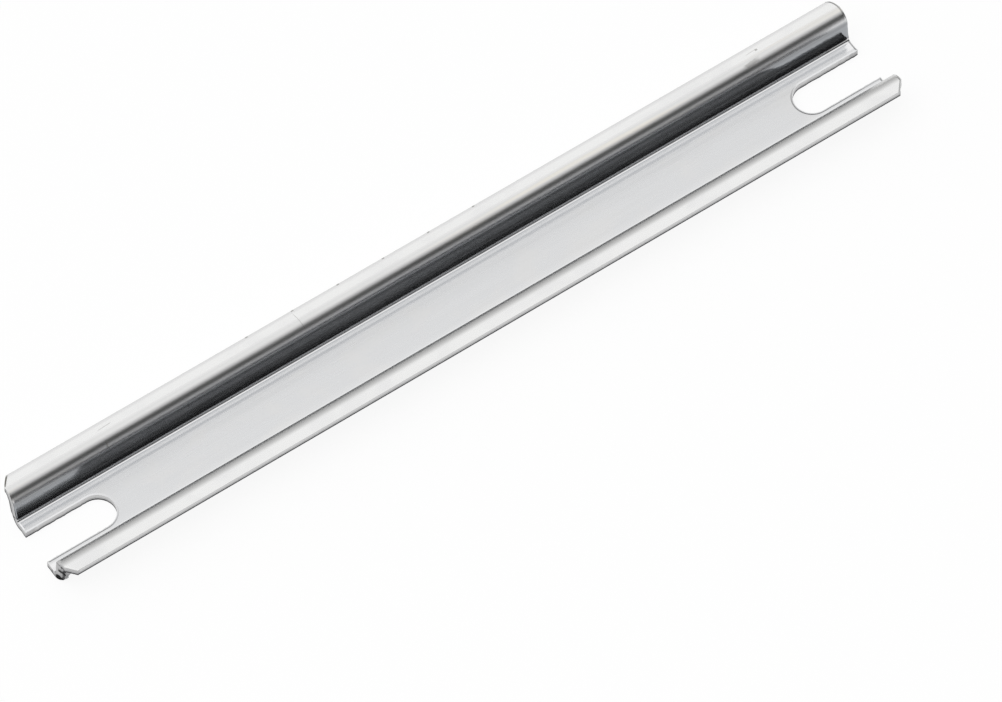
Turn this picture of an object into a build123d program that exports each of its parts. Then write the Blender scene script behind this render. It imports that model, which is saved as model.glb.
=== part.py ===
"""Short length of top-hat mounting rail, 15 mm wide and 5.5 mm high.

One strip of 1 mm zinc-plated steel, roll-formed into a shallow channel with an outward
flange along each side, cut to length, and notched at both ends for a fixing screw.
It lies on its base with the channel open upwards. X runs along the rail, Y across it and
Z up, and the origin is the middle of the underside of the base. Sizes are in millimetres.
"""
from build123d import *
from math import cos, radians, tan
import os

# The rolled section
rail_width = 15.0        # across both flanges, edge to edge
rail_height = 5.5        # from the underside of the base to the top of the flanges
sheet = 1.0              # thickness of the strip, the same in base, walls and flanges
channel_width = 8.1      # clear width between the walls, at the base
wall_slant = 8.0         # degrees each wall leans outwards, as sprung back after rolling
crest_radius = 1.8       # where a wall rolls over into its flange, on the channel side
root_radius = 0.4        # where a wall meets the base, on the channel side
edge_round = 0.12        # what slitting and rolling leave on the long edges

# The cut length and its ends
rail_length = 115.0      # end to end
slot_width = 4.5         # clears a 4 mm screw
slot_reach = 10.4        # from the end of the rail to the bottom of the slot
crop_along = 1.0         # taken off each flange corner along the rail
crop_across = 1.2        # and across it


def rolled_section():
    """Outline of the bent strip across the rail, with every bend at its own radius."""
    lean = tan(radians(wall_slant))
    edge = rail_width / 2
    ledge = rail_height - sheet

    # The two faces of a wall are one strip thickness apart, measured square to the wall.
    wall_foot = channel_width / 2
    wall_top = wall_foot + lean * ledge
    outer_foot = wall_foot - lean * sheet + sheet / cos(radians(wall_slant))
    outer_top = outer_foot + lean * ledge

    # Both faces of a bend turn about one centre, so the strip keeps its thickness. The wide
    # bend has to end before the edge of the flange.
    turn = tan(radians(90 - wall_slant) / 2)
    crest = min(crest_radius, 0.95 * (edge - edge_round - wall_top) / turn)

    corners = [
        ((outer_foot, 0), root_radius + sheet),
        ((outer_top, ledge), crest - sheet),
        ((edge, ledge), edge_round),
        ((edge, rail_height), edge_round),
        ((wall_top, rail_height), crest),
        ((wall_foot, sheet), root_radius),
    ]
    with BuildSketch(Plane.YZ.offset(-rail_length / 2)) as section:
        with BuildLine():
            Polyline((0, 0), *[point for point, _ in corners], (0, sheet))
            mirror(about=Plane.YZ)
        make_face()
        for (across, up), radius in corners:
            for side in (-1, 1):
                fillet(section.vertices().sort_by_distance((side * across, up))[0], radius)
    return section.sketch


def end_slots():
    """Cutters for the open slot with a round bottom at each end of the base."""
    round_centre = rail_length / 2 - slot_reach + slot_width / 2
    straight = slot_reach - slot_width / 2
    with BuildPart() as cutters:
        with BuildSketch():
            with Locations((round_centre, 0), (-round_centre, 0)):
                Circle(slot_width / 2)
            with Locations((rail_length / 2, 0), (-rail_length / 2, 0)):
                Rectangle(2 * straight, slot_width)
        extrude(amount=rail_height)
    return cutters.part


def corner_crops():
    """Wedges that take the sharp corner off the flanges at both ends."""
    end = rail_length / 2
    edge = rail_width / 2
    with BuildPart() as wedges:
        with BuildSketch():
            for along in (-1, 1):
                for across in (-1, 1):
                    Polygon(
                        (along * end, across * edge),
                        (along * (end - crop_along), across * edge),
                        (along * end, across * (edge - crop_across)),
                        align=None,
                    )
        extrude(amount=rail_height)
    return wedges.part


def mounting_rail():
    """The finished rail, one solid."""
    with BuildPart() as rail:
        extrude(rolled_section(), amount=rail_length, dir=(1, 0, 0))
        add(end_slots(), mode=Mode.SUBTRACT)
        add(corner_crops(), mode=Mode.SUBTRACT)
    return rail.part


os.makedirs("parts", exist_ok=True)
export_step(mounting_rail(), "parts/mounting_rail.step")
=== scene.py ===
"""A short length of 15 mm top-hat mounting rail, bright zinc-plated, lying on a white table.

The rail is made here as the real one is: a flat blank with its slots and cropped corners is
cut out of strip, then rolled up into the section. Sizes are in metres.
"""
import bpy
import bmesh
from math import cos, pi, radians, sin, sqrt, tan
from mathutils import Matrix, Vector, noise


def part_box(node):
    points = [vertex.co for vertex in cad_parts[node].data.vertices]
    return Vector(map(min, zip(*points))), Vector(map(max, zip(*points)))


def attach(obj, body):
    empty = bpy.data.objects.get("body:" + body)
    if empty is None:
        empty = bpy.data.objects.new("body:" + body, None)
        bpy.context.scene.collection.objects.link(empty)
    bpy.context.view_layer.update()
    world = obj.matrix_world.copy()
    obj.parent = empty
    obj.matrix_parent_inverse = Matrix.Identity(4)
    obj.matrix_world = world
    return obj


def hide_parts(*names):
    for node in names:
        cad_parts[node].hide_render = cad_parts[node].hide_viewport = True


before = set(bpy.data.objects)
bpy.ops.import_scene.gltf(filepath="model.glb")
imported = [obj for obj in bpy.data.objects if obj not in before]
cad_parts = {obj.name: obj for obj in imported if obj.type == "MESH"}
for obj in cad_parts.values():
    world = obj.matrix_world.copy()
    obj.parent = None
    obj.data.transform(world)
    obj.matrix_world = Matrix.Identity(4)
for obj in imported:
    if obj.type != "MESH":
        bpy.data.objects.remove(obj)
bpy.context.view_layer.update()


# The rail's blank.
# One piece of 1 mm cold-rolled strip, flat, as wide as the finished section is round its
# bends. A punch has opened a slot with a round bottom at each end and cropped the corners.
low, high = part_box("mounting_rail")
mm = 0.001
rail_length = high[0] - low[0]
rail_width = high[1] - low[1]
rail_height = high[2] - low[2]
sheet = 1.0 * mm
channel_width = 8.1 * mm      # at the base
wall_slant = radians(8)
root_radius = 0.4 * mm        # where a wall meets the base, on the channel side
crest_radius = 1.8 * mm       # where it rolls over into its flange, on the same side
slot_radius = 2.25 * mm
slot_reach = 10.4 * mm
crop_along = 1.0 * mm
crop_across = 1.2 * mm
worn_corner = 1.9 * mm        # the width over which the far right corner is worn round
rolled_edge = 0.1 * mm        # the round that cutting left on every edge
shear_depth = 0.14 * mm       # the most that a sheared end is drawn back
shear_wave = 1.1 * mm         # the length of the waves in a sheared end
slot_waviness = 0.03          # of the slot's half width
slot_wave = 0.4 * mm          # the length of the waves along a slot

# Both bends turn the strip by the same angle, and their sizes are those of its middle.
turn = pi / 2 - wall_slant
root_bend = root_radius + sheet / 2
crest_bend = crest_radius - sheet / 2
root_start = channel_width / 2 - root_radius * tan(turn / 2)
wall_run = (rail_height - sheet - (root_bend + crest_bend) * (1 - cos(turn))) / sin(turn)
crest_start = root_start + root_bend * turn + wall_run
flat_start = crest_start + crest_bend * turn
flange_run = (rail_width / 2 - channel_width / 2 - (rail_height - sheet) * tan(wall_slant)
              - crest_radius * tan(turn / 2))
blank_half = flat_start + flange_run


def steps(start, end, count):
    """Evenly spaced values after start, up to and with end."""
    return [start + (end - start) * (i + 1) / count for i in range(count)]


def ease(value):
    """Goes from 0 to 1 with a soft start and a soft end."""
    value = min(max(value, 0.0), 1.0)
    return value * value * (3 - 2 * value)


# Lines along the strip, closer together where it bends and where the slots begin
half_lines = [0.0] + [slot_radius * sin(angle) for angle in steps(0, pi / 2, 10)]
half_lines += steps(slot_radius, root_start, 6)
half_lines += steps(root_start, root_start + root_bend * turn, 12)
half_lines += steps(root_start + root_bend * turn, crest_start, 9)
half_lines += steps(crest_start, flat_start, 16)
half_lines += steps(flat_start, blank_half - crop_across, 1)
half_lines += steps(blank_half - crop_across, blank_half, 6)
lines = [-line for line in reversed(half_lines[1:])] + half_lines

# Stations across it, closer together at the ends
rail_end = rail_length / 2
slot_centre = rail_end - slot_reach + slot_radius
slot_ease = 8 * mm            # the stations turn to a slot, a crop or a sheared end over these
crop_ease = 4 * mm
shear_ease = 2 * mm
ease_from = slot_centre - slot_ease
half_stations = [0.0] + steps(0, ease_from, 54)
half_stations += steps(ease_from, slot_centre, 22)
half_stations += steps(slot_centre, rail_end, 30)
stations = [-station for station in reversed(half_stations[1:])] + half_stations


def blank_point(station, line):
    """Where a station crosses a line, drawn back to the slot's bottom and the crops.

    The bare numbers in the noise only pick a stretch of it.
    """
    reach = abs(station)
    side = 1 if station > 0 else -1
    from_middle = abs(line)
    if from_middle < slot_radius:
        bottom = sqrt(slot_radius ** 2 - from_middle ** 2)
        reach -= bottom * ease((reach - ease_from) / (slot_centre - ease_from))
    cropped = max(0.0, from_middle - (blank_half - crop_across)) / crop_across * crop_along
    if station > 0 and line > 0:
        into_corner = min(max(0.0, from_middle - blank_half + worn_corner) / worn_corner, 1.0)
        cropped = crop_along * (1 - sqrt(1 - into_corner ** 2))
    reach -= cropped * ease((reach - rail_end + crop_ease) / crop_ease)
    if from_middle == slot_radius and reach > slot_centre:
        line *= 1 + slot_waviness * noise.noise(Vector((station / slot_wave, line / mm, 3.1)))
    ragged = noise.noise(Vector((line / shear_wave, side * 7.3, 1.9)))
    reach -= shear_depth * max(0.0, ragged) * ease((reach - rail_end + shear_ease) / shear_ease)
    return side * reach, line, 0.0


hair = 1e-9                   # more than rounding moves a line, and less than any step
sheet_metal = bmesh.new()
grid = {}
for i, station in enumerate(stations):
    for j, line in enumerate(lines):
        in_slot = abs(station) > slot_centre + hair and abs(line) < slot_radius - hair
        if not in_slot:
            grid[i, j] = sheet_metal.verts.new(blank_point(station, line))
for i in range(len(stations) - 1):
    for j in range(len(lines) - 1):
        corners = [grid.get(key) for key in ((i, j), (i + 1, j), (i + 1, j + 1), (i, j + 1))]
        middle = abs(stations[i] + stations[i + 1]) / 2, abs(lines[j] + lines[j + 1]) / 2
        if None not in corners and not (middle[0] > slot_centre and middle[1] < slot_radius):
            sheet_metal.faces.new(corners)

# A narrow ring of faces inside the cuts carries their rolled-over edge
rim = 0.13 * mm
bmesh.ops.inset_region(sheet_metal, faces=sheet_metal.faces[:], thickness=rim,
                       use_boundary=True, use_even_offset=True)
blank_mesh = bpy.data.meshes.new("blank")
sheet_metal.to_mesh(blank_mesh)
sheet_metal.free()
blank = bpy.data.objects.new("blank", blank_mesh)
bpy.context.scene.collection.objects.link(blank)

thickness = blank.modifiers.new("strip thickness", "SOLIDIFY")
thickness.thickness = sheet
thickness.offset = 0
thickness.use_rim = True
roll_over = blank.modifiers.new("punched edges", "BEVEL")
roll_over.width = rolled_edge
roll_over.segments = 3
roll_over.limit_method = "ANGLE"
roll_over.angle_limit = radians(60)


# Roll forming.
# The strip runs through rolls that turn the flanges down first and then lift the walls, so
# each bend is a fold about a line along the strip and the metal keeps its thickness.
def new_tree(name, kind, sockets):
    """A node tree with its inputs, which are (name, type, value), and a list of outputs."""
    tree = bpy.data.node_groups.new(name, kind)
    for label, socket_type, value in sockets["in"]:
        socket = tree.interface.new_socket(label, in_out="INPUT", socket_type=socket_type)
        if value is not None:
            socket.default_value = value
    for label, socket_type in sockets["out"]:
        tree.interface.new_socket(label, in_out="OUTPUT", socket_type=socket_type)
    given = tree.nodes.new("NodeGroupInput")
    result = tree.nodes.new("NodeGroupOutput")
    return tree, given, result


def joined(tree, kind, inputs, **settings):
    """A node of one kind with its inputs set to values or linked to sockets."""
    node = tree.nodes.new(kind)
    for name, value in settings.items():
        setattr(node, name, value)
    for key, value in inputs.items():
        if isinstance(value, bpy.types.NodeSocket):
            tree.links.new(value, node.inputs[key])
        else:
            node.inputs[key].default_value = value
    return node


def reckon(tree, operation, first, second=0.0, third=0.0):
    """The result of one Math node."""
    return joined(tree, "ShaderNodeMath", {0: first, 1: second, 2: third},
                  operation=operation).outputs[0]


def between(tree, value, start, end):
    """Rises smoothly from 0 to 1 as a value goes from start to end."""
    return joined(tree, "ShaderNodeMapRange", {"Value": value, "From Min": start, "From Max": end},
                  interpolation_type="SMOOTHSTEP").outputs[0]


fold, given, result = new_tree("fold", "GeometryNodeTree", {
    "in": [("Geometry", "NodeSocketGeometry", None), ("Start", "NodeSocketFloat", 0.0),
           ("Radius", "NodeSocketFloat", 1 * mm), ("Angle", "NodeSocketFloat", 0.0),
           ("Up", "NodeSocketFloat", 1.0)],
    "out": [("Geometry", "NodeSocketGeometry")]})
start, radius, angle, up = (given.outputs[name] for name in ("Start", "Radius", "Angle", "Up"))
where = fold.nodes.new("GeometryNodeInputPosition")
at = joined(fold, "ShaderNodeSeparateXYZ", {0: where.outputs[0]})
side = reckon(fold, "SIGN", at.outputs["Y"])
past = reckon(fold, "SUBTRACT", reckon(fold, "ABSOLUTE", at.outputs["Y"]), start)
bent = joined(fold, "ShaderNodeClamp", {"Value": reckon(fold, "DIVIDE", past, radius),
                                        "Min": 0.0, "Max": angle}).outputs[0]
before = reckon(fold, "MINIMUM", past, 0.0)
straight = reckon(fold, "MAXIMUM",
                  reckon(fold, "SUBTRACT", past, reckon(fold, "MULTIPLY", radius, angle)), 0.0)
arm = reckon(fold, "SUBTRACT", radius, reckon(fold, "MULTIPLY", at.outputs["Z"], up))
bent_sine = reckon(fold, "SINE", bent)
bent_cosine = reckon(fold, "COSINE", bent)
across = reckon(fold, "ADD", reckon(fold, "ADD", start, before),
                reckon(fold, "MULTIPLY_ADD", arm, bent_sine,
                       reckon(fold, "MULTIPLY", straight, bent_cosine)))
rise = reckon(fold, "SUBTRACT",
              reckon(fold, "MULTIPLY_ADD", straight, bent_sine, radius),
              reckon(fold, "MULTIPLY", arm, bent_cosine))
moved = joined(fold, "ShaderNodeCombineXYZ", {
    "X": at.outputs["X"], "Y": reckon(fold, "MULTIPLY", across, side),
    "Z": reckon(fold, "MULTIPLY", rise, up)})
placed = joined(fold, "GeometryNodeSetPosition", {"Geometry": given.outputs["Geometry"],
                                                  "Position": moved.outputs[0]})
fold.links.new(placed.outputs[0], result.inputs[0])

crushed_length = 1.5 * mm
torn_back = 0.46 * mm
bulge = 0.27 * mm
lump_size = 0.9 * mm
forming, given, result = new_tree("roll forming", "GeometryNodeTree", {
    "in": [("Geometry", "NodeSocketGeometry", None), ("Sheet", "NodeSocketFloat", sheet),
           ("Turn", "NodeSocketFloat", turn),
           ("Root start", "NodeSocketFloat", root_start),
           ("Root radius", "NodeSocketFloat", root_bend),
           ("Crest start", "NodeSocketFloat", crest_start),
           ("Crest radius", "NodeSocketFloat", crest_bend),
           ("Left end", "NodeSocketFloat", low[0]),
           ("Crushed length", "NodeSocketFloat", crushed_length),
           ("Torn back", "NodeSocketFloat", torn_back),
           ("Bulge", "NodeSocketFloat", bulge),
           ("Rolled finish", "NodeSocketMaterial", None),
           ("Sheared finish", "NodeSocketMaterial", None)],
    "out": [("Geometry", "NodeSocketGeometry")]})
flat = forming.nodes.new("GeometryNodeInputPosition")
facing = joined(forming, "ShaderNodeSeparateXYZ",
                {0: forming.nodes.new("GeometryNodeInputNormal").outputs[0]})
least_flat = 0.8              # a face of the blank that points up or down by less was cut
on_strip = joined(forming, "GeometryNodeStoreNamedAttribute", {
    "Geometry": given.outputs["Geometry"], "Name": "on_strip", "Value": flat.outputs[0]},
    data_type="FLOAT_VECTOR", domain="POINT")
sheared = joined(forming, "GeometryNodeStoreNamedAttribute", {
    "Geometry": on_strip.outputs[0], "Name": "sheared",
    "Value": reckon(forming, "LESS_THAN",
                    reckon(forming, "ABSOLUTE", facing.outputs["Z"]), least_flat)},
    data_type="FLOAT", domain="FACE")

# Blunt tooling crushed the left end of the near wall. Between its two bends the outer side is
# torn back and bulges out, in lumps.
at = joined(forming, "ShaderNodeSeparateXYZ", {0: flat.outputs[0]})
lumps = joined(forming, "ShaderNodeTexNoise", {
    "Vector": flat.outputs[0], "Scale": 1 / lump_size, "Detail": 1.0, "Roughness": 0.5})
near = reckon(forming, "MULTIPLY", at.outputs["Y"], -1.0)
below_crest = between(forming, near,
                      reckon(forming, "ADD", given.outputs["Crest start"], 0.4 * mm),
                      reckon(forming, "SUBTRACT", given.outputs["Crest start"], 0.4 * mm))
above_root = between(forming, near,
                     reckon(forming, "ADD", given.outputs["Root start"], 0.25 * mm),
                     reckon(forming, "ADD", given.outputs["Root start"], 0.9 * mm))
at_left = between(forming,
                  reckon(forming, "SUBTRACT", at.outputs["X"], given.outputs["Left end"]),
                  given.outputs["Crushed length"], 0.3 * mm)
outwards = reckon(forming, "SUBTRACT", 0.5,
                  reckon(forming, "DIVIDE", at.outputs["Z"], given.outputs["Sheet"]))
crushed = reckon(forming, "MULTIPLY", lumps.outputs["Fac"], 2.0)
for share in (below_crest, above_root, at_left, outwards):
    crushed = reckon(forming, "MULTIPLY", crushed, share)
crush = joined(forming, "ShaderNodeVectorMath", {
    0: joined(forming, "ShaderNodeCombineXYZ", {
        "X": given.outputs["Torn back"], "Y": 0.0,
        "Z": reckon(forming, "MULTIPLY", given.outputs["Bulge"], -1.0)}).outputs[0],
    "Scale": crushed}, operation="SCALE")
shape = joined(forming, "GeometryNodeSetPosition", {
    "Geometry": sheared.outputs[0], "Offset": crush.outputs[0]}).outputs[0]
for bend, direction in (("Crest", -1.0), ("Root", 1.0)):
    shape = joined(forming, "GeometryNodeGroup", {
        "Geometry": shape, "Start": given.outputs[bend + " start"],
        "Radius": given.outputs[bend + " radius"], "Angle": given.outputs["Turn"],
        "Up": direction}, node_tree=fold).outputs[0]
lifted = joined(forming, "GeometryNodeTransform", {"Geometry": shape, "Translation": joined(
    forming, "ShaderNodeCombineXYZ",
    {"Z": reckon(forming, "MULTIPLY", given.outputs["Sheet"], 0.5)}).outputs[0]})
smooth = joined(forming, "GeometryNodeSetShadeSmooth", {"Geometry": lifted.outputs[0]})
real = joined(forming, "GeometryNodeRealizeInstances", {0: smooth.outputs[0]})
rolled_faces = joined(forming, "GeometryNodeSetMaterial", {
    "Geometry": real.outputs[0], "Material": given.outputs["Rolled finish"]})
cut_faces = joined(forming, "GeometryNodeInputNamedAttribute", {"Name": "sheared"},
                   data_type="FLOAT")
finished = joined(forming, "GeometryNodeSetMaterial", {
    "Geometry": rolled_faces.outputs[0], "Selection": cut_faces.outputs[0],
    "Material": given.outputs["Sheared finish"]})
forming.links.new(finished.outputs[0], result.inputs[0])


# Bright zinc plating.
# A few micrometres of electroplated zinc over the rolled strip, clear passivated. It shows
# the lines that the rolls left along it, a slight orange peel, and the marks of handling.
peel, given, result = new_tree("orange peel", "ShaderNodeTree", {
    "in": [("Place", "NodeSocketVector", None), ("Along", "NodeSocketFloat", 1.2 * mm),
           ("Across", "NodeSocketFloat", 0.8 * mm)],
    "out": [("Height", "NodeSocketFloat"), ("Cloud", "NodeSocketFloat")]})
cells = joined(peel, "ShaderNodeVectorMath", {
    0: given.outputs["Place"],
    1: joined(peel, "ShaderNodeCombineXYZ", {
        "X": given.outputs["Along"], "Y": given.outputs["Across"],
        "Z": given.outputs["Across"]}).outputs[0]}, operation="DIVIDE").outputs[0]
dimples = joined(peel, "ShaderNodeTexNoise", {
    "Vector": cells, "Scale": 1.0, "Detail": 1.0, "Roughness": 0.4})
haze = joined(peel, "ShaderNodeTexNoise", {
    "Vector": cells, "Scale": 0.23, "Detail": 4.0, "Roughness": 0.62, "Distortion": 0.4})
peel.links.new(dimples.outputs["Fac"], result.inputs["Height"])
peel.links.new(haze.outputs["Fac"], result.inputs["Cloud"])

rolling, given, result = new_tree("rolling lines", "ShaderNodeTree", {
    "in": [("Place", "NodeSocketVector", None), ("Pitch", "NodeSocketFloat", 0.3 * mm),
           ("Run", "NodeSocketFloat", 20 * mm)],
    "out": [("Lines", "NodeSocketFloat")]})
drawn_out = joined(rolling, "ShaderNodeVectorMath", {
    0: given.outputs["Place"],
    1: joined(rolling, "ShaderNodeCombineXYZ", {
        "X": given.outputs["Run"], "Y": given.outputs["Pitch"],
        "Z": given.outputs["Pitch"]}).outputs[0]}, operation="DIVIDE").outputs[0]
lines_noise = joined(rolling, "ShaderNodeTexNoise", {
    "Vector": drawn_out, "Scale": 1.0, "Detail": 2.0, "Roughness": 0.55})
rolling.links.new(lines_noise.outputs["Fac"], result.inputs["Lines"])

mark, given, result = new_tree("mark", "ShaderNodeTree", {
    "in": [("Place", "NodeSocketVector", None), ("Centre", "NodeSocketVector", None),
           ("Angle", "NodeSocketFloat", 0.0), ("Length", "NodeSocketFloat", 2 * mm),
           ("Width", "NodeSocketFloat", 0.2 * mm)],
    "out": [("Mask", "NodeSocketFloat")]})
from_centre = joined(mark, "ShaderNodeVectorMath", {
    0: given.outputs["Place"], 1: given.outputs["Centre"]}, operation="SUBTRACT").outputs[0]
turned = joined(mark, "ShaderNodeVectorRotate", {
    "Vector": from_centre, "Angle": reckon(mark, "MULTIPLY", given.outputs["Angle"], -1.0)},
    rotation_type="Z_AXIS").outputs[0]
rag_size = 0.4 * mm
ragged = joined(mark, "ShaderNodeTexNoise", {
    "Vector": given.outputs["Place"], "Scale": 1 / rag_size, "Detail": 2.0, "Roughness": 0.6})
parts = joined(mark, "ShaderNodeSeparateXYZ", {0: turned})
far_along = reckon(mark, "DIVIDE", reckon(mark, "ABSOLUTE", parts.outputs["X"]),
                   reckon(mark, "MULTIPLY", given.outputs["Length"], 0.5))
far_across = reckon(mark, "DIVIDE", reckon(mark, "ABSOLUTE", parts.outputs["Y"]),
                    reckon(mark, "MULTIPLY", given.outputs["Width"], 0.5))
apart = reckon(mark, "MULTIPLY_ADD", ragged.outputs["Fac"], 0.8,
               reckon(mark, "MAXIMUM", far_along, far_across))
masked = joined(mark, "ShaderNodeMapRange", {
    "Value": apart, "From Min": 1.45, "From Max": 0.95, "To Min": 0.0, "To Max": 1.0},
    interpolation_type="SMOOTHSTEP")
mark.links.new(masked.outputs[0], result.inputs["Mask"])


def group(tree, made, inputs):
    """A node group placed in a material with its own values."""
    return joined(tree, "ShaderNodeGroup", inputs, node_tree=made)


def blended(tree, factor, first, second):
    """One colour mixed into another."""
    node = joined(tree, "ShaderNodeMix", {0: factor}, data_type="RGBA")
    for socket, value in ((node.inputs[6], first), (node.inputs[7], second)):
        if isinstance(value, bpy.types.NodeSocket):
            tree.links.new(value, socket)
        else:
            socket.default_value = (*value, 1)
    return node.outputs[2]


def band(tree, value, start, end, soft):
    """1 from start to end, and falling smoothly to 0 over a soft margin outside them."""
    return reckon(tree, "MULTIPLY", between(tree, value, start - soft, start),
                  between(tree, value, end + soft, end))


plated = bpy.data.materials.new("zinc_plated_steel")
plated.use_nodes = True
tree = plated.node_tree
tree.nodes.clear()
place = joined(tree, "ShaderNodeAttribute", {}, attribute_name="on_strip").outputs["Vector"]
along_across = joined(tree, "ShaderNodeSeparateXYZ", {0: place})
line = along_across.outputs["Y"]
from_middle = reckon(tree, "ABSOLUTE", line)
channel_side = between(tree, along_across.outputs["Z"], -0.3 * mm, 0.3 * mm)
skin = group(tree, peel, {"Place": place, "Along": 1.3 * mm, "Across": 0.9 * mm})
fine_lines = group(tree, rolling, {"Place": place, "Pitch": 0.32 * mm, "Run": 14 * mm})
broad_lines = group(tree, rolling, {"Place": place, "Pitch": 1.1 * mm, "Run": 45 * mm})

# Colours of the zinc, from the base out to the far edge. Some are painted highlight and painted
# shade.
base_zinc = (0.725, 0.730, 0.738)
clouded_base = (0.745, 0.745, 0.745)
foot_highlight_zinc = (0.86, 0.86, 0.865)
root_zinc = (0.74, 0.74, 0.745)
bend_line_zinc = (0.20, 0.20, 0.205)
wall_shade_zinc = (0.40, 0.415, 0.435)
crest_zinc = (0.74, 0.74, 0.735)
yellowed_zinc = (0.79, 0.765, 0.71)
flange_zinc = (0.835, 0.835, 0.830)
clouded_flange = (0.80, 0.80, 0.80)
far_edge_zinc = (0.72, 0.72, 0.72)
scar_and_shade_zinc = (0.16, 0.15, 0.13)
scraped_zinc = (0.16, 0.16, 0.165)

# The flanges are neutral and bright, the base is a little bluer, and both are clouded. The zinc
# is duller along the far edge and over the bends into the flanges.
on_flange = between(tree, from_middle, crest_start, flat_start)
tone = blended(tree, on_flange, base_zinc, flange_zinc)
clouded = blended(tree, on_flange, clouded_base, clouded_flange)
tone = blended(tree, between(tree, skin.outputs["Cloud"], 0.45, 0.68), tone, clouded)
tone = blended(tree, between(tree, line, blank_half - 0.55 * mm, blank_half - 0.1 * mm),
               tone, far_edge_zinc)
in_crest = band(tree, from_middle, crest_start + 0.5 * mm, flat_start - 0.3 * mm, 0.5 * mm)
over_crest = band(tree, from_middle, crest_start + 1.0 * mm, flat_start - 0.3 * mm, 0.4 * mm)
tone = blended(tree, over_crest, tone, crest_zinc)

# The base just before each wall carries a painted highlight. On the channel side the wall is
# painted darker, as painted shade, with a dark line of painted shade in the crease just above its
# root bend and a fainter dark line where it turns into its crest.
root_end = root_start + root_bend * turn
in_wall = reckon(tree, "MULTIPLY", channel_side,
                 band(tree, from_middle, root_end - 0.3 * mm, crest_start, 0.5 * mm))
tone = blended(tree, in_wall, tone, wall_shade_zinc)
painted_foot_highlight = band(tree, from_middle, root_start - 0.8 * mm, root_start - 0.15 * mm, 0.3 * mm)
tone = blended(tree, painted_foot_highlight, tone, foot_highlight_zinc)
in_root = band(tree, from_middle, root_start + 0.15 * mm, root_end, 0.2 * mm)
tone = blended(tree, in_root, tone, root_zinc)
root_shade_line = band(tree, from_middle, root_end + 0.05 * mm, root_end + 0.18 * mm, 0.15 * mm)
crest_dark_line = band(tree, from_middle, crest_start - 0.1 * mm, crest_start + 0.1 * mm, 0.4 * mm)
dark_bend_lines = reckon(tree, "MAXIMUM", root_shade_line, reckon(tree, "MULTIPLY", 0.4, crest_dark_line))
dark_bend_lines = reckon(tree, "MULTIPLY", reckon(tree, "MULTIPLY", dark_bend_lines, channel_side), 0.7)
tone = blended(tree, dark_bend_lines, tone, bend_line_zinc)

# The stretched metal over the far bend has a warmer passivation in places.
yellowed = reckon(tree, "MULTIPLY",
                  band(tree, line, crest_start + 0.8 * mm, flat_start - 0.2 * mm, 0.6 * mm),
                  between(tree, broad_lines.outputs["Lines"], 0.5, 0.64))
tone = blended(tree, yellowed, tone, yellowed_zinc)

# Handling marks, and one painted dark line, in millimetres and degrees: along and across the
# strip, angle, length, width and how dark. The eighth, along the far left crop, is painted shade,
# not a mark. The last six are nicks at even steps in the far edge.
marks = [(-17.93, 9.35, 98, 2.3, 0.10, 0.30), (-43.8, 9.88, 3, 2.0, 0.16, 0.22),
         (-44.7, 8.21, 80, 0.8, 0.30, 0.35), (45.3, 9.95, 4, 1.6, 0.10, 0.25),
         (46.0, 9.88, 0, 0.4, 0.30, 0.50), (53.2, 5.1, 75, 0.9, 0.45, 0.75),
         (44.6, 8.9, 5, 2.2, 0.5, 0.30), (-56.97, 10.1, 50, 1.7, 0.3, 0.95)]
first_nick, nick_step = -24.1, 6.22
marks += [(first_nick + nick_step * i, blank_half / mm - 0.05, 0, 0.4, 0.24, 0.6)
          for i in range(6)]
scars_and_painted_shade = 0.0
for along, across, degrees_round, long, wide, dark in marks:
    marked_spot = group(tree, mark, {"Place": place, "Centre": (along * mm, across * mm, sheet / 2),
                              "Angle": radians(degrees_round), "Length": long * mm,
                              "Width": wide * mm})
    scars_and_painted_shade = reckon(tree, "MAXIMUM", reckon(tree, "MULTIPLY", marked_spot.outputs[0], dark), scars_and_painted_shade)
scars_and_painted_shade = reckon(tree, "MULTIPLY", scars_and_painted_shade, channel_side)
tone = blended(tree, scars_and_painted_shade, tone, scar_and_shade_zinc)

# The outer side of the crushed wall end is scraped dark.
scraped = reckon(tree, "MULTIPLY",
                 band(tree, line, -crest_start - 0.3 * mm, -root_start - 0.3 * mm, 0.4 * mm),
                 between(tree, along_across.outputs["X"], low[0] + 2.4 * mm, low[0] + 1.2 * mm))
outer_side = reckon(tree, "MULTIPLY_ADD", channel_side, -0.85, 0.85)
scraped = reckon(tree, "MULTIPLY", scraped, outer_side)
tone = blended(tree, scraped, tone, scraped_zinc)

# Punching and cropping drew the surface down round the slots, the crops and the ends. The far
# right corner is worn round, so its distance is worked out in another way.
die_roll = 0.28 * mm
reach = reckon(tree, "ABSOLUTE", along_across.outputs["X"])
from_end = reckon(tree, "SUBTRACT", rail_end, reach)
from_edge = reckon(tree, "SUBTRACT", blank_half, from_middle)
before_slot = reckon(tree, "MINIMUM", reckon(tree, "SUBTRACT", reach, slot_centre), 0.0)
from_slot = joined(tree, "ShaderNodeVectorMath", {0: joined(
    tree, "ShaderNodeCombineXYZ", {"X": before_slot, "Y": line}).outputs[0]},
    operation="LENGTH").outputs["Value"]
from_slot = reckon(tree, "SUBTRACT", from_slot, slot_radius)
crop_line = sqrt(crop_along ** 2 + crop_across ** 2)
from_crop = reckon(tree, "MULTIPLY_ADD", from_end, crop_across / crop_line,
                   reckon(tree, "MULTIPLY_ADD", from_edge, crop_along / crop_line,
                          -crop_along * crop_across / crop_line))
into_corner = joined(tree, "ShaderNodeClamp", {"Value": reckon(
    tree, "MULTIPLY_ADD", from_edge, -1 / worn_corner, 1.0)}).outputs[0]
round_off = reckon(tree, "SQRT", reckon(
    tree, "SUBTRACT", 1.0, reckon(tree, "MULTIPLY", into_corner, into_corner)))
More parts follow.
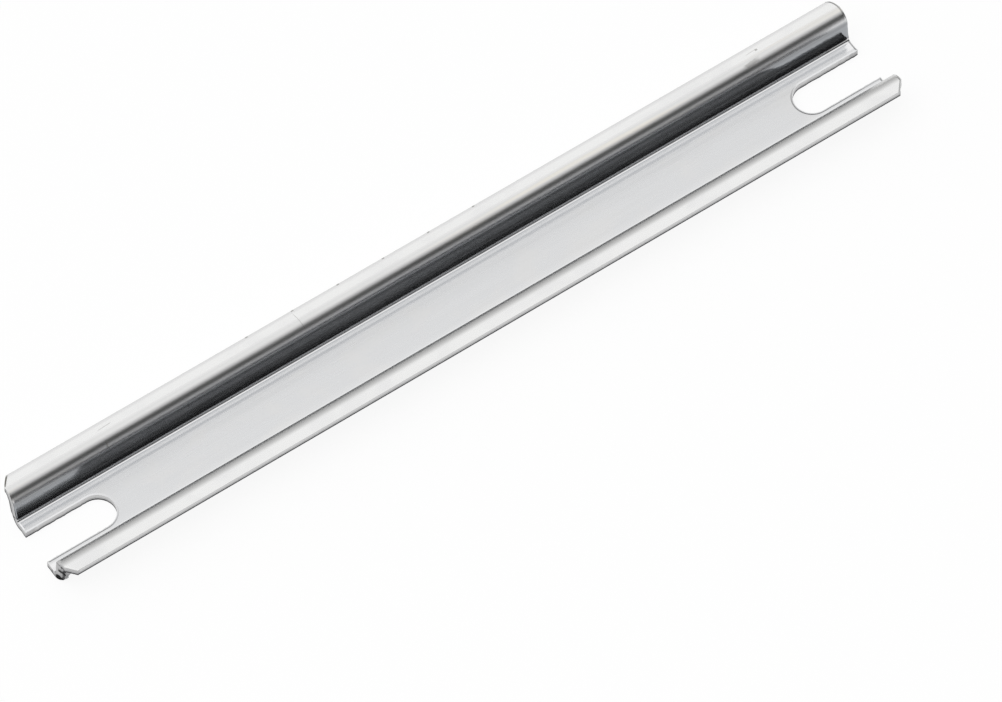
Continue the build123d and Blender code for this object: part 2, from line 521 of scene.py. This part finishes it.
from_worn = reckon(tree, "MULTIPLY_ADD", reckon(tree, "SUBTRACT", 1.0, round_off), -crop_along,
                   from_end)
far_right = reckon(tree, "MULTIPLY",
                   reckon(tree, "GREATER_THAN", along_across.outputs["X"], 0.0),
                   reckon(tree, "GREATER_THAN", line, 0.0))
from_corner = joined(tree, "ShaderNodeMix", {"Factor": far_right, "A": from_crop,
                                             "B": from_worn}).outputs[0]
from_cut = reckon(tree, "MINIMUM", from_slot, reckon(tree, "MINIMUM", from_end, from_corner))
drawn_down = reckon(tree, "MULTIPLY", channel_side,
                    between(tree, from_cut, die_roll, 0.05 * mm))

# The bend into the flange stretched the zinc and dulled it, the middle of the base is a
# little duller than the flanges, and the walls kept the gloss of the rolls, in streaks.
in_base = between(tree, from_middle, root_start - 0.8 * mm, root_start - 1.8 * mm)
streaks = reckon(tree, "MULTIPLY", in_wall,
                 between(tree, broad_lines.outputs["Lines"], 0.45, 0.6))
rough = 0.09
for where, more in ((fine_lines.outputs["Lines"], 0.08), (skin.outputs["Cloud"], 0.06),
                    (in_base, 0.12), (in_wall, -0.07), (streaks, 0.08), (in_crest, 0.16),
                    (scars_and_painted_shade, 0.2)):
    rough = reckon(tree, "MULTIPLY_ADD", where, more, rough)

# Heights of the relief. The foot of each wall rises softly before its tight bend.
peel_height = 0.0075 * mm
line_height = 0.0022 * mm
scar_depth = 0.006 * mm
foot_rise = 0.028 * mm
draw_depth = 0.055 * mm
relief = reckon(tree, "MULTIPLY_ADD", in_wall, 0.5, 0.5)
low_bump = joined(tree, "ShaderNodeBump", {"Strength": relief, "Distance": peel_height,
                                           "Height": skin.outputs["Height"]})
line_bump = joined(tree, "ShaderNodeBump", {"Strength": relief, "Distance": line_height,
                                            "Height": fine_lines.outputs["Lines"],
                                            "Normal": low_bump.outputs[0]})
scar_bump = joined(tree, "ShaderNodeBump", {"Strength": 1.0, "Distance": scar_depth,
                                            "Height": scars_and_painted_shade, "Normal": line_bump.outputs[0]},
                   invert=True)
soft_foot = between(tree, from_middle, root_start - 0.55 * mm, root_start + 0.05 * mm)
soft_foot = reckon(tree, "MULTIPLY", soft_foot, channel_side)
formed_height = reckon(tree, "MULTIPLY_ADD", soft_foot, foot_rise,
                       reckon(tree, "MULTIPLY", drawn_down, -draw_depth))
formed_bump = joined(tree, "ShaderNodeBump", {"Strength": 1.0, "Distance": 1.0,
                                              "Height": formed_height,
                                              "Normal": scar_bump.outputs[0]})
metal = joined(tree, "ShaderNodeBsdfPrincipled", {
    "Base Color": tone, "Metallic": 1.0, "Roughness": rough,
    "Normal": formed_bump.outputs[0]})
joined(tree, "ShaderNodeOutputMaterial", {"Surface": metal.outputs[0]})

# The sheared edges: a bright burnished band under the rolled-over corner, then torn metal, and
# very dark along the bottom of each edge.
edges = bpy.data.materials.new("zinc_on_sheared_edges")
edges.use_nodes = True
tree = edges.node_tree
tree.nodes.clear()
place = joined(tree, "ShaderNodeAttribute", {}, attribute_name="on_strip").outputs["Vector"]
along_depth = joined(tree, "ShaderNodeSeparateXYZ", {0: place})
depth = along_depth.outputs["Z"]
at_end = between(tree, reckon(tree, "ABSOLUTE", along_depth.outputs["X"]),
                 rail_end - 1.4 * mm, rail_end - 1.1 * mm)
torn = group(tree, rolling, {"Place": place, "Pitch": 1.2 * mm, "Run": 0.22 * mm})
pits = group(tree, peel, {"Place": place, "Along": 0.25 * mm, "Across": 0.3 * mm})
burnished_zinc = (0.64, 0.64, 0.64)
torn_zinc = (0.48, 0.48, 0.485)
end_zinc = (0.40, 0.40, 0.405)
edge_bottom_zinc = (0.035, 0.035, 0.038)
hole_shade_black = (0.02, 0.02, 0.02)
torn_zone = between(tree, reckon(tree, "MULTIPLY_ADD", torn.outputs["Lines"], 0.25 * mm, depth),
                    0.22 * mm, 0.12 * mm)
dark_bottom_band = between(tree, reckon(tree, "MULTIPLY_ADD", pits.outputs["Height"], 0.12 * mm, depth),
               -0.12 * mm, -0.24 * mm)
tone = blended(tree, torn_zone, burnished_zinc, torn_zinc)
tone = blended(tree, reckon(tree, "MULTIPLY", at_end, 0.6), tone, end_zinc)
tone = blended(tree, dark_bottom_band, tone, edge_bottom_zinc)

# Torn holes in the left end, painted on as black spots of shade, in millimetres: how far in, how
# far across, how wide and how dark. They don't shine, and they stay below the rolled-over corner.
painted_hole_length = 1.5 * mm
painted_holes = 0.0
for inwards, across, wide, dark in ((0.0, -4.4, 0.9, 0.95), (0.0, -3.3, 0.3, 0.6),
                                    (0.0, -6.1, 0.8, 0.85), (0.0, -7.4, 0.4, 0.8),
                                    (0.0, 4.9, 0.3, 0.7), (0.5, 9.9, 1.5, 0.7)):
    painted_hole = group(tree, mark, {"Place": place, "Length": painted_hole_length, "Width": wide * mm,
                              "Centre": (low[0] + inwards * mm, across * mm, 0.0)})
    painted_holes = reckon(tree, "MAXIMUM", reckon(tree, "MULTIPLY", painted_hole.outputs[0], dark), painted_holes)
painted_holes = reckon(tree, "MULTIPLY", painted_holes, between(tree, depth, 0.35 * mm, 0.15 * mm))
tone = blended(tree, painted_holes, tone, hole_shade_black)
solid = reckon(tree, "SUBTRACT", 1.0, painted_holes)
rough = reckon(tree, "MULTIPLY_ADD", torn_zone, 0.18, 0.22)
tear_height = 0.01 * mm
tear_bump = joined(tree, "ShaderNodeBump", {"Strength": 0.6, "Distance": tear_height,
                                            "Height": torn.outputs["Lines"]})
metal = joined(tree, "ShaderNodeBsdfPrincipled", {
    "Base Color": tone, "Metallic": solid, "Roughness": rough, "Specular IOR Level": 0.0,
    "Normal": tear_bump.outputs[0]})
joined(tree, "ShaderNodeOutputMaterial", {"Surface": metal.outputs[0]})

rolls = blank.modifiers.new("roll forming", "NODES")
rolls.node_group = forming
for item in forming.interface.items_tree:
    if item.name == "Rolled finish":
        rolls[item.identifier] = plated
    if item.name == "Sheared finish":
        rolls[item.identifier] = edges
bpy.context.view_layer.update()
formed = blank.evaluated_get(bpy.context.evaluated_depsgraph_get())
rail_mesh = bpy.data.meshes.new_from_object(formed)
rail_mesh.name = "rail"
bpy.data.objects.remove(blank)
rail = bpy.data.objects.new("rail", rail_mesh)
bpy.context.scene.collection.objects.link(rail)
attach(rail, "root")
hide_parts("mounting_rail")


# The table.
# A sheet of white paper, much larger than the view. It looks white to the camera and in
# reflections, where a painted shade in its glow darkens it a little close round the rail, and it
# keeps the soft shadow.
table_half = 2.5
table_gap = 0.02 * mm         # below the rail, whose underside would share its plane
paper_tone = (0.1, 0.1, 0.1, 1)
paper_glow = 0.9
# These two set a painted shade in the glow that reflections see round the rail.
shaded_share = 0.82           # of the glow, in reflections of the paper right beside the rail
shade_reach = 6 * mm          # and how far out it is shaded
table_mesh = bpy.data.meshes.new("table")
table_mesh.from_pydata([(-table_half, -table_half, 0), (table_half, -table_half, 0),
                        (table_half, table_half, 0), (-table_half, table_half, 0)],
                       [], [(0, 1, 2, 3)])
table = bpy.data.objects.new("table", table_mesh)
bpy.context.scene.collection.objects.link(table)
table.location.z = -table_gap
paper = bpy.data.materials.new("white_table")
paper.use_nodes = True
tree = paper.node_tree
tree.nodes.clear()
white = joined(tree, "ShaderNodeBsdfDiffuse", {"Color": paper_tone})
seen = joined(tree, "ShaderNodeLightPath", {})
on_table = joined(tree, "ShaderNodeSeparateXYZ",
                  {0: joined(tree, "ShaderNodeTexCoord", {}).outputs["Object"]})
beyond_ends = reckon(tree, "SUBTRACT",
                     reckon(tree, "ABSOLUTE", on_table.outputs["X"]), rail_length / 2)
beyond_sides = reckon(tree, "SUBTRACT",
                      reckon(tree, "ABSOLUTE", on_table.outputs["Y"]), rail_width / 2)
clear_of_rail = joined(tree, "ShaderNodeMapRange", {
    "Value": reckon(tree, "MAXIMUM", beyond_ends, beyond_sides), "From Min": 0.0,
    "From Max": shade_reach, "To Min": shaded_share, "To Max": 1.0}).outputs[0]
mirrored = reckon(tree, "MULTIPLY", reckon(tree, "MAXIMUM", seen.outputs["Is Glossy Ray"],
                                           seen.outputs["Is Transmission Ray"]), clear_of_rail)
direct = reckon(tree, "MAXIMUM", seen.outputs["Is Camera Ray"], mirrored)
glow = joined(tree, "ShaderNodeEmission", {
    "Color": (1, 1, 1, 1), "Strength": reckon(tree, "MULTIPLY", direct, paper_glow)})
both = joined(tree, "ShaderNodeAddShader", {0: white.outputs[0], 1: glow.outputs[0]})
joined(tree, "ShaderNodeOutputMaterial", {"Surface": both.outputs[0]})
table_mesh.materials.append(paper)


# The light.
# A white room with a wide soft ceiling, darker towards its far wall and past the rail's right
# end. A black screen stands behind the camera, and a soft box hangs over the left end.
studio = bpy.data.worlds.new("studio")
bpy.context.scene.world = studio
studio.use_nodes = True
tree = studio.node_tree
tree.nodes.clear()
ray = joined(tree, "ShaderNodeTexCoord", {})
heading = joined(tree, "ShaderNodeSeparateXYZ", {0: ray.outputs["Generated"]})
height = reckon(tree, "ARCTAN2", heading.outputs["Z"],
                reckon(tree, "MULTIPLY", heading.outputs["Y"], -1.0))
room = joined(tree, "ShaderNodeValToRGB", {"Fac": reckon(tree, "DIVIDE", height, pi)})

# How bright the room is by the degrees up from the floor at the camera's side, over the top
# and down to the floor at the far side
levels = [(0, 0.50), (10, 0.43), (20, 0.09), (28, 0.02), (48.5, 0.02), (51.5, 0.52), (60, 0.68),
          (69, 0.94), (78, 1.26), (86, 1.08), (98, 1.02), (122, 1.02), (135, 0.88), (152, 0.66),
          (180, 0.42)]
brightest = 1.3
right_from, right_to = 0.4, 0.72
right_share = 0.45
ramp = room.color_ramp
while len(ramp.elements) < len(levels):
    ramp.elements.new(0.5)
for element, (degrees_up, level) in zip(ramp.elements, levels):
    element.position = degrees_up / 180
    element.color = (level / brightest, level / brightest, level / brightest, 1)
towards_right = joined(tree, "ShaderNodeMapRange", {
    "Value": heading.outputs["X"], "From Min": right_from, "From Max": right_to,
    "To Min": brightest, "To Max": brightest * right_share}, interpolation_type="SMOOTHSTEP")
sky = joined(tree, "ShaderNodeBackground", {"Color": room.outputs["Color"],
                                            "Strength": towards_right.outputs[0]})
joined(tree, "ShaderNodeOutputWorld", {"Surface": sky.outputs[0]})

soft_box = bpy.data.lights.new("soft box", "AREA")
soft_box.shape = "SQUARE"
soft_box.size = 1.2
soft_box.energy = 6.5
soft_box_stand = bpy.data.objects.new("soft box", soft_box)
bpy.context.scene.collection.objects.link(soft_box_stand)
soft_box_stand.visible_glossy = False
soft_box_place = Vector((-0.6, 0.0, 1.3))
soft_box_stand.location = soft_box_place
soft_box_stand.rotation_euler = soft_box_place.to_track_quat("Z", "Y").to_euler()


# The camera.
# A long lens about a metre away, off the rail's left end on its near side. It looks down into
# the open side.
camera_place = Vector((-0.28909, -0.45104, 0.86343))
swung_round = radians(-33.16)
looking_down = radians(58.48)
rolled = radians(-1.165)
lens = bpy.data.cameras.new("camera")
lens.lens = 318.7
lens.sensor_width = 36
lens.shift_x = -0.0005
lens.shift_y = 0.0005
camera = bpy.data.objects.new("camera", lens)
bpy.context.scene.collection.objects.link(camera)
camera.matrix_world = (Matrix.Translation(camera_place)
                       @ Matrix.Rotation(swung_round, 4, "Z")
                       @ Matrix.Rotation(pi / 2 - looking_down, 4, "X")
                       @ Matrix.Rotation(rolled, 4, "Z"))
bpy.context.scene.camera = camera
bpy.context.scene.view_settings.view_transform = "Standard"
